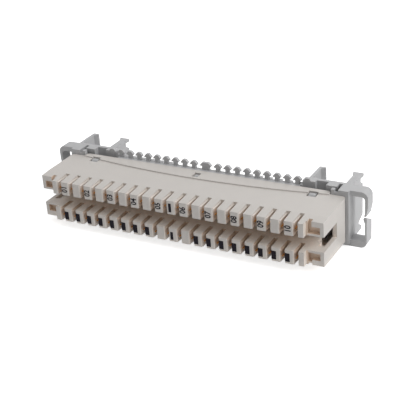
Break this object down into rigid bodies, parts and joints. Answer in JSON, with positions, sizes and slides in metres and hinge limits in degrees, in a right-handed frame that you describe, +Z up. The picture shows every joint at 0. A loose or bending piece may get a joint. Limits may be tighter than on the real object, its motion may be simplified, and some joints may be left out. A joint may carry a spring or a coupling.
{
  "type": "punch down wiring block",
  "caption": "Long ivory punch-down block with two rows of wire slots, a middle test slot and a grey rear wire guide with end loops and rod clips.",
  "frame": {"origin": "bottom centre of the whole part, under the wire loops", "axes": "+X along the block to the end with the last pair, +Y from the teeth to the frame's rods, +Z up from the lower to the upper row of slots"},
  "size_m": [0.1242, 0.039, 0.0218],
  "materials": {
    "ivory_plastic": "satin",
    "grey_plastic": "satin",
    "contact_metal": "satin"
  },
  "bodies": {
    "root": {"housing": "ivory_plastic", "wire_guide_base": "grey_plastic", "contact_upper_01": "contact_metal", "contact_lower_01": "contact_metal", "contact_upper_02": "contact_metal", "contact_lower_02": "contact_metal", "contact_upper_03": "contact_metal", "contact_lower_03": "contact_metal", "contact_upper_04": "contact_metal", "contact_lower_04": "contact_metal", "contact_upper_05": "contact_metal", "contact_lower_05": "contact_metal", "contact_upper_06": "contact_metal", "contact_lower_06": "contact_metal", "contact_upper_07": "contact_metal", "contact_lower_07": "contact_metal", "contact_upper_08": "contact_metal", "contact_lower_08": "contact_metal", "contact_upper_09": "contact_metal", "contact_lower_09": "contact_metal", "contact_upper_10": "contact_metal", "contact_lower_10": "contact_metal", "contact_upper_11": "contact_metal", "contact_lower_11": "contact_metal", "contact_upper_12": "contact_metal", "contact_lower_12": "contact_metal", "contact_upper_13": "contact_metal", "contact_lower_13": "contact_metal", "contact_upper_14": "contact_metal", "contact_lower_14": "contact_metal", "contact_upper_15": "contact_metal", "contact_lower_15": "contact_metal", "contact_upper_16": "contact_metal", "contact_lower_16": "contact_metal", "contact_upper_17": "contact_metal", "contact_lower_17": "contact_metal", "contact_upper_18": "contact_metal", "contact_lower_18": "contact_metal", "contact_upper_19": "contact_metal", "contact_lower_19": "contact_metal", "contact_upper_20": "contact_metal", "contact_lower_20": "contact_metal"}
  },
  "joints": []
}
